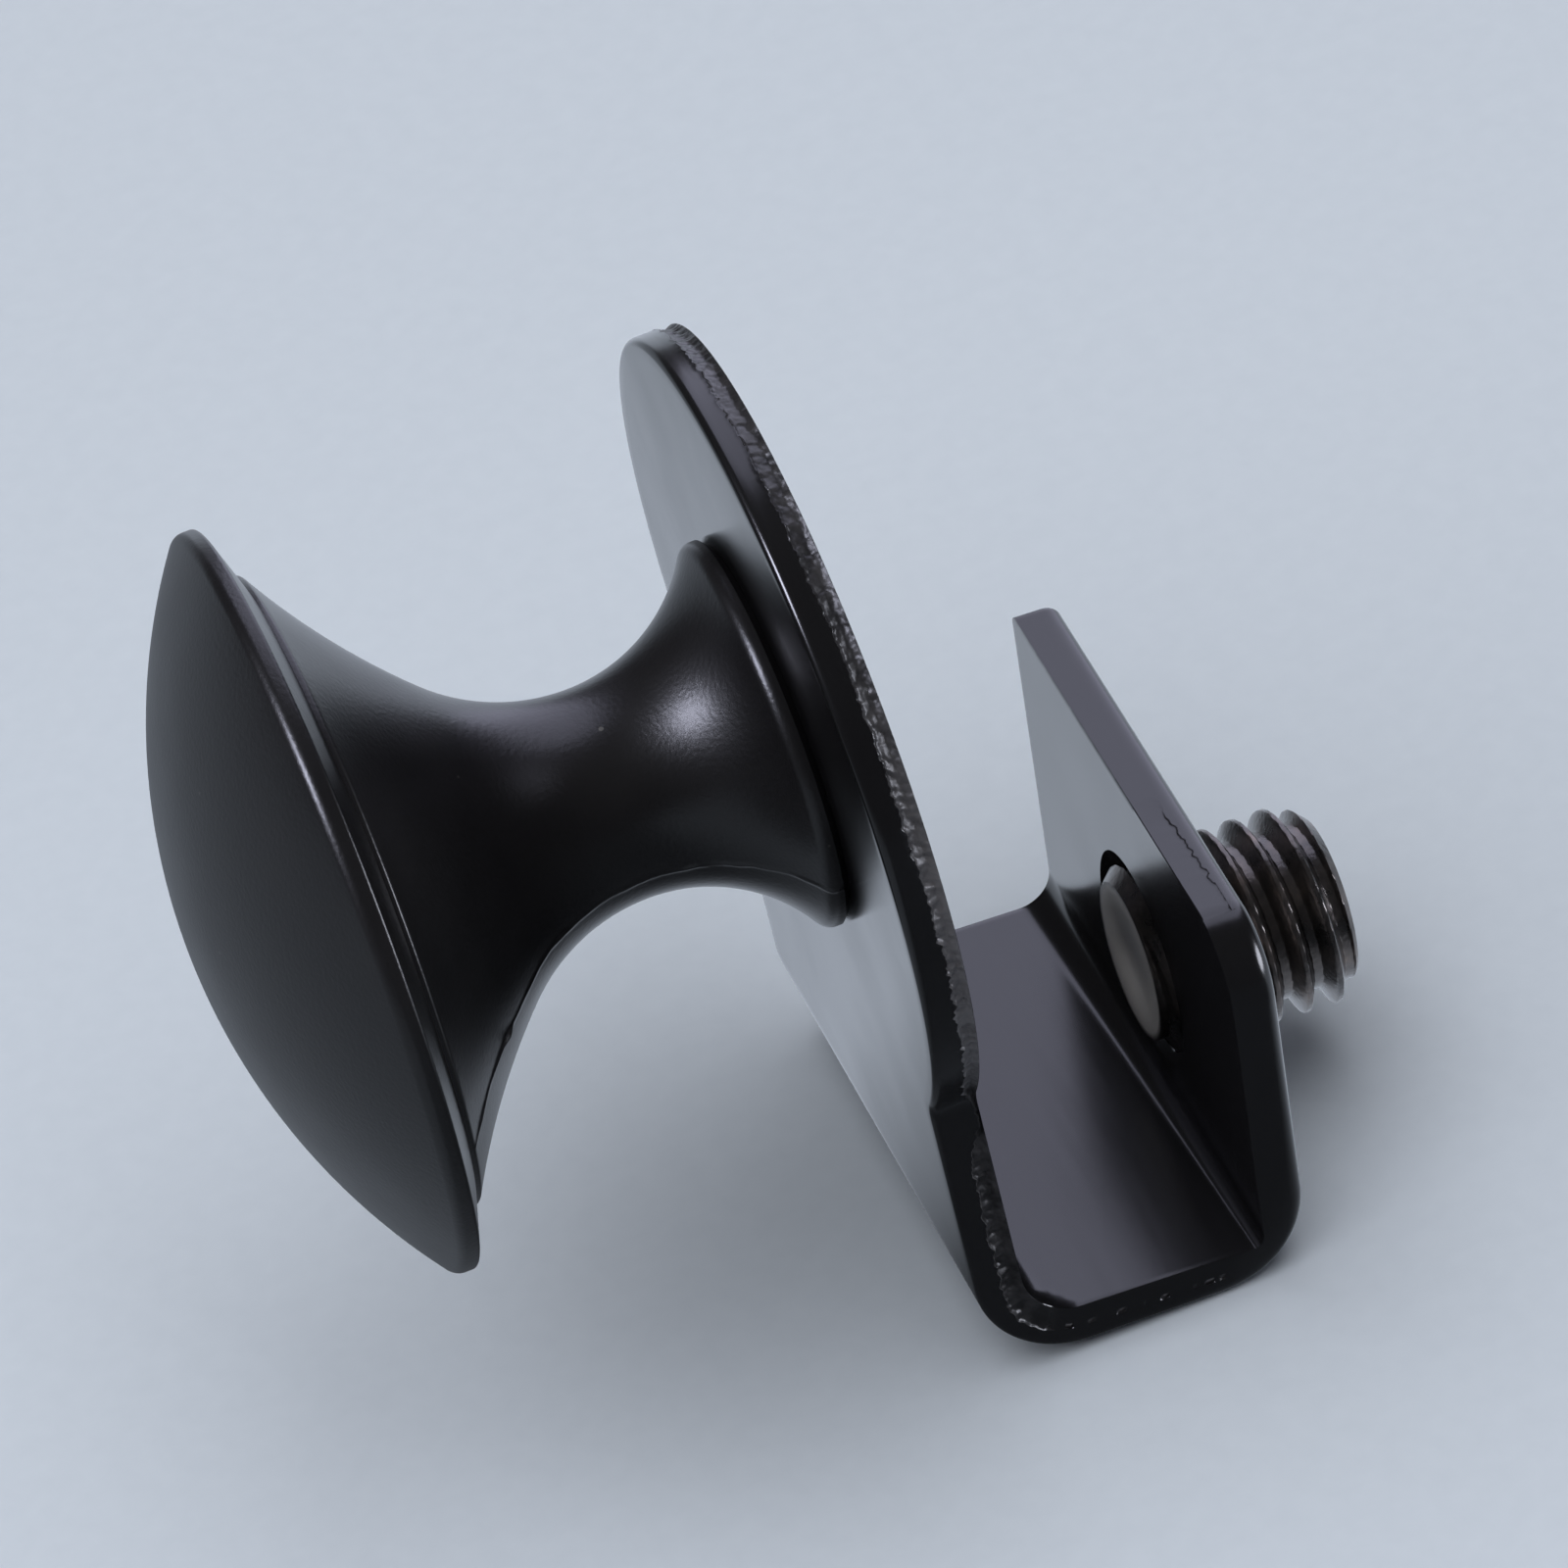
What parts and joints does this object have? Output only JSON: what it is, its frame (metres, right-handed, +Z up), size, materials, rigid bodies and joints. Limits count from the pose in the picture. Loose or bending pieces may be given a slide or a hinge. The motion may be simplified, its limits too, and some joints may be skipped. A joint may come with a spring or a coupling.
{
  "type": "glass door clamp handle",
  "caption": "Mushroom knob on a round plate, folded from sheet into a U that grips the edge of a glass door, with a set screw in its back tab.",
  "frame": {"origin": "on the knob's axis, on the face of the round plate that lies against the glass", "axes": "+Y out of the plate into the glass, so the knob points along -Y; +Z up, away from the glass edge; +X along the glass edge"},
  "size_m": [0.0306, 0.0421, 0.0392],
  "materials": {
    "knob_black": "satin black paint on a die casting, with faint orange peel",
    "bracket_black": "gloss black coat on folded steel sheet, with rough sheared edges",
    "screw_black": "black oxide, satin"
  },
  "bodies": {
    "handle": {"knob": "knob_black", "clamp_bracket": "bracket_black", "knob_screw": "screw_black"},
    "set_screw": {"clamp_screw": "screw_black"}
  },
  "joints": [
    {"name": "screw_travel", "type": "slide", "parent": "handle", "child": "set_screw", "axis": [0, -0.9974, 0.0715], "range_m": [0, 0.005]}
  ]
}
